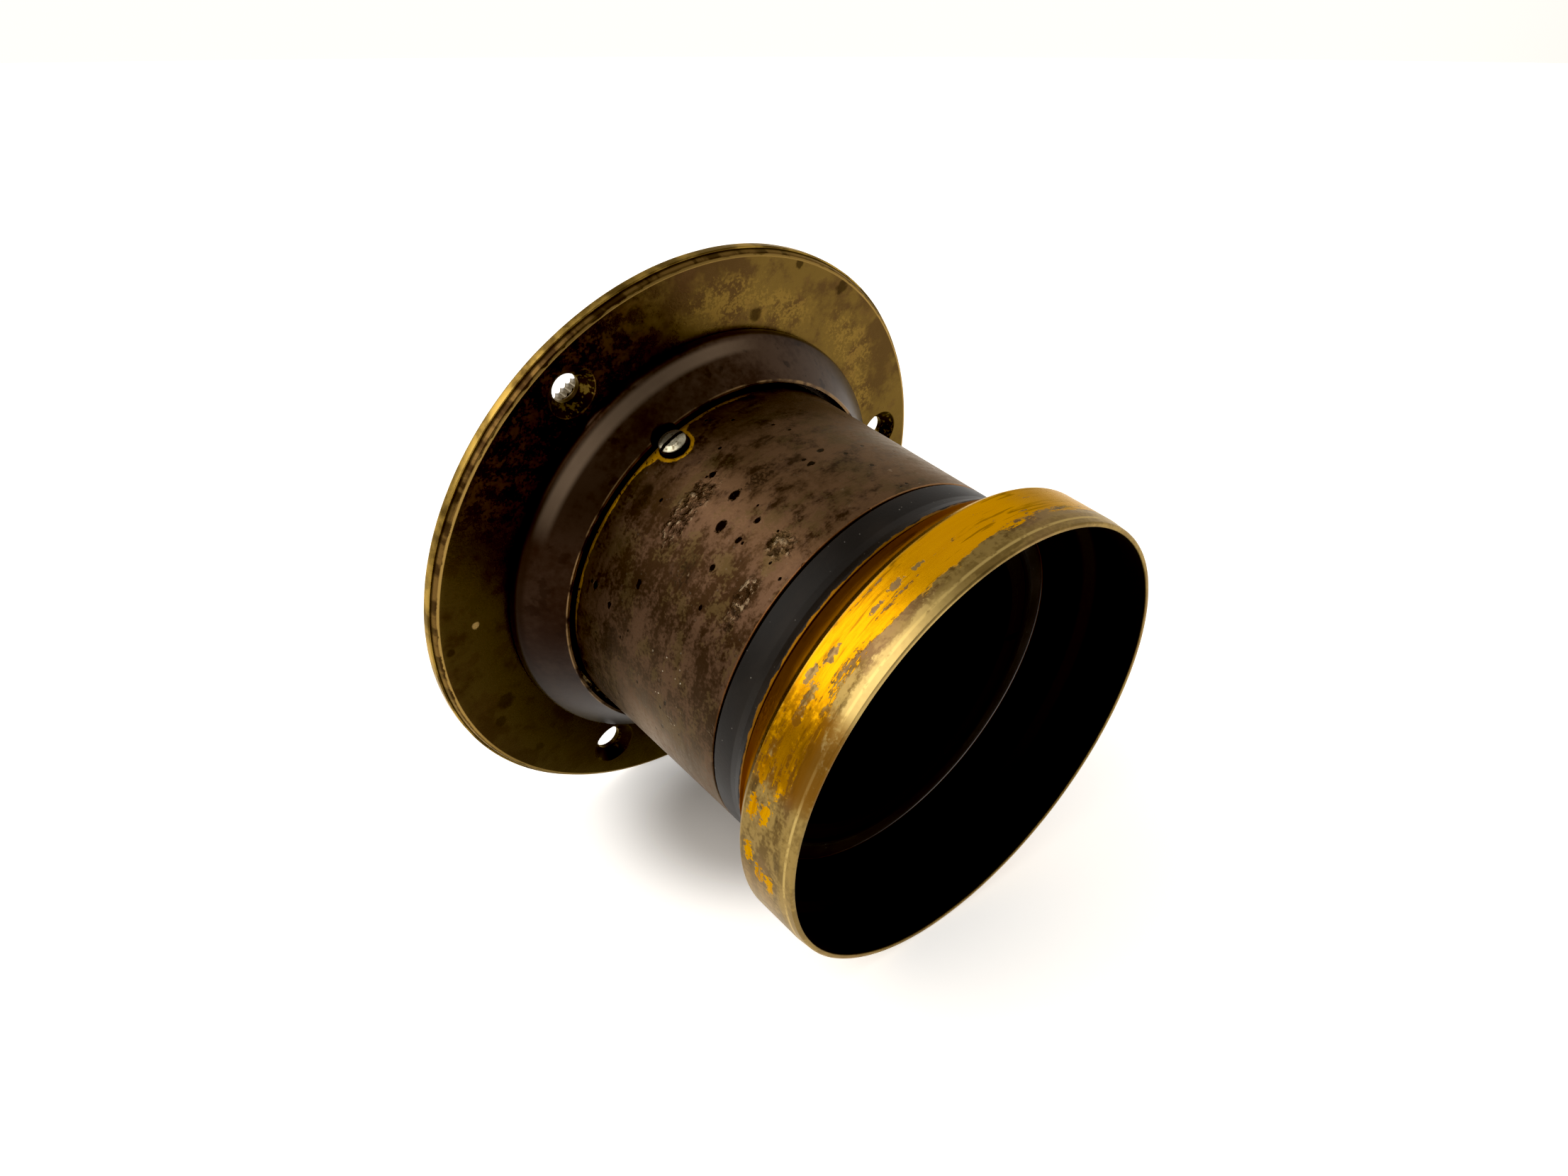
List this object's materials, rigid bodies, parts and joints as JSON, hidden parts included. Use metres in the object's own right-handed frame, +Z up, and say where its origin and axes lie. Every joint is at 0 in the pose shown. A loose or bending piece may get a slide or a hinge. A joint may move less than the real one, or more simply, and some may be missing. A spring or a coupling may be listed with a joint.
{
  "type": "enlarger lens",
  "caption": "Antique brass enlarger lens: bronzed barrel in a screw-on round flange, black front cell with a wide lacquered hood, rear cell with a milled rim.",
  "frame": {"origin": "centre of the lens's box in X and Y, on the surface that the lens lies on", "axes": "+Z up; the lens lies on its side with its nose to -Y, and the lens axis dips 11.7 degrees to the nose; +X to the right as seen looking into the hood along +Y"},
  "size_m": [0.0858, 0.079, 0.0844],
  "materials": {
    "aged_brass": "old brass with dark olive-brown patina, bright where its edge is worn",
    "collar_patina": "smooth purple-brown patina",
    "bronzed_barrel": "mottled brown bronzing with pits and scratches",
    "nickelled_screw": "worn nickel",
    "black_enamel": "satin black enamel",
    "gold_lacquer": "gold lacquer worn in bands round the hood to bare brass",
    "bare_brass": "dull bare brass",
    "flat_black": "dead black paint",
    "crown_glass": "clear polished",
    "flint_glass": "clear polished, slightly warm"
  },
  "bodies": {
    "lens_body": {"mounting_flange": "aged_brass", "flange_collar": "collar_patina", "barrel_thread_ring": "bare_brass", "barrel_tube": "bronzed_barrel", "stop_ring": "flat_black"},
    "front_glass_group": {"front_crown_element": "crown_glass", "front_flint_element": "flint_glass"},
    "front_cell_group": {"front_cell": "black_enamel", "lens_hood": "gold_lacquer", "front_retaining_ring": "flat_black"},
    "rear_glass_group": {"rear_flint_element": "flint_glass", "rear_spacer_ring": "flat_black", "rear_crown_element": "crown_glass"},
    "rear_cell_group": {"rear_cell": "bare_brass", "rear_retaining_ring": "flat_black"},
    "screw_group": {"locking_screw": "nickelled_screw"}
  },
  "joints": [
    {"name": "front_cell_travel", "type": "slide", "parent": "lens_body", "child": "front_glass_group", "axis": [0, -0.9794, -0.2021], "range_m": [0, 0.0032]},
    {"name": "front_cell_turn", "type": "hinge", "parent": "front_glass_group", "child": "front_cell_group", "pos_m": [0, 0.02143, 0.04186], "axis": [0, -0.9794, -0.2021], "range_deg": [0, 1540]},
    {"name": "rear_cell_travel", "type": "slide", "parent": "lens_body", "child": "rear_glass_group", "axis": [0, 0.9794, 0.2021], "range_m": [0, 0.0032]},
    {"name": "rear_cell_turn", "type": "hinge", "parent": "rear_glass_group", "child": "rear_cell_group", "pos_m": [0, 0.02143, 0.04186], "axis": [0, 0.9794, 0.2021], "range_deg": [0, 1540]},
    {"name": "locking_screw_turn", "type": "hinge", "parent": "lens_body", "child": "screw_group", "pos_m": [-0.01411, 0.00836, 0.06267], "axis": [-0.5225, -0.1723, 0.8351], "range_deg": [0, 1080]}
  ],
  "couplings": [
    {"joint": "front_cell_turn", "follows": "front_cell_travel", "rad_per_m": 7854},
    {"joint": "rear_cell_turn", "follows": "rear_cell_travel", "rad_per_m": 7854}
  ]
}
